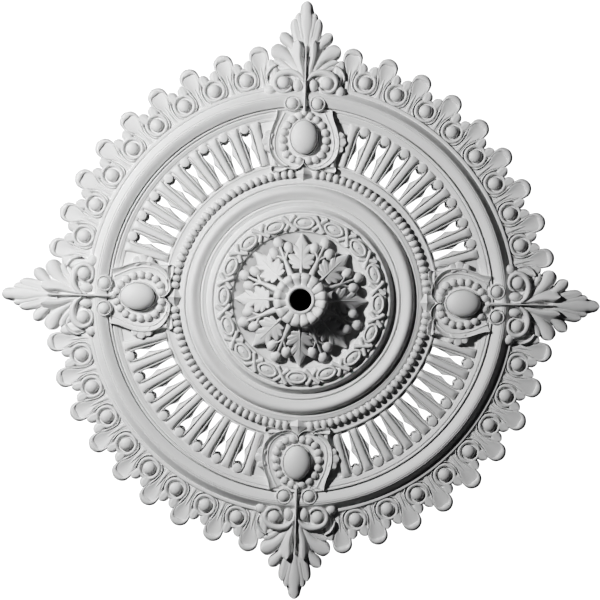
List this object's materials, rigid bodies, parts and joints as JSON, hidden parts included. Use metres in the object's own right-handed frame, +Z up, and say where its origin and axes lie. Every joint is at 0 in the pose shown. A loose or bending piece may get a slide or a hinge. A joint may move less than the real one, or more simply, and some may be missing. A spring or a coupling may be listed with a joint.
{
  "type": "ceiling rose",
  "caption": "Round ceiling rose with a pierced gallery, leaf fringe, pointed finials and a carved boss round a cable hole, hung flat under a ceiling.",
  "frame": {"origin": "middle of the flat back face, on the axis of the cable hole, at the ceiling", "axes": "+Z up towards the ceiling along the cable hole; +X and +Y through the points of two finials; the ornament hangs towards -Z"},
  "size_m": [0.8576, 0.8576, 0.09],
  "materials": {
    "white_casting": "matte white primed casting"
  },
  "bodies": {
    "root": {"ceiling_rose": "white_casting"}
  },
  "joints": []
}
